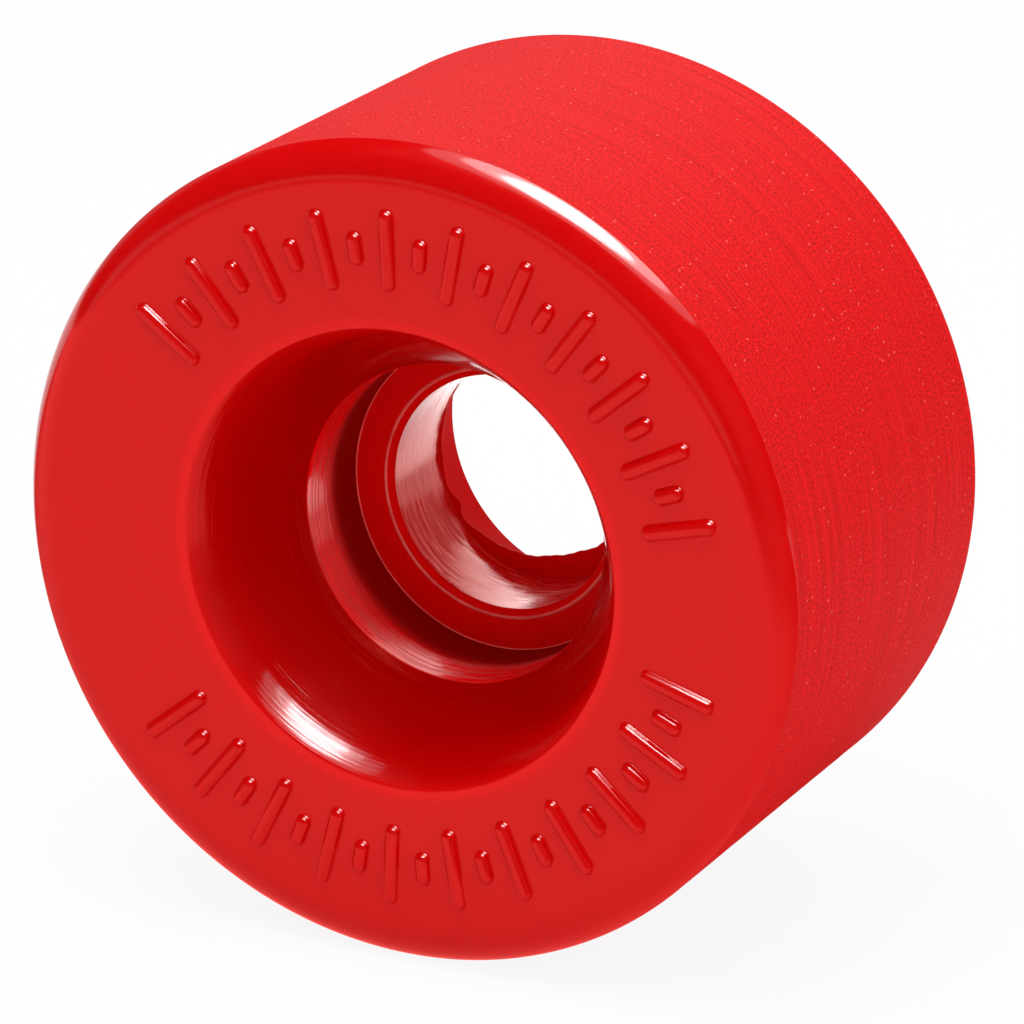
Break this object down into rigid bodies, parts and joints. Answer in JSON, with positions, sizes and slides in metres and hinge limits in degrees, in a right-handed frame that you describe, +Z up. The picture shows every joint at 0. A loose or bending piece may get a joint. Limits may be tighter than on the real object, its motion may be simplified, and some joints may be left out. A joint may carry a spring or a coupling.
{
  "type": "roller skate wheel",
  "caption": "Roller skate wheel: a cast urethane tyre with a flat ground tread and rounded lips, keyed onto a rigid hub core with press-fit bearing seats and a dished outer face.",
  "frame": {"origin": "centre of the wheel, on the axle line and halfway between the two faces", "axes": "Y is the axle line, with the deep front dish towards -Y; Z is up with the wheel standing on its tread"},
  "size_m": [0.056, 0.033, 0.056],
  "materials": {
    "tyre": "glossy moulded faces, matt ground tread",
    "hub_core": "satin moulded"
  },
  "bodies": {
    "root": {"tyre": "tyre", "hub_core": "hub_core"}
  },
  "joints": []
}
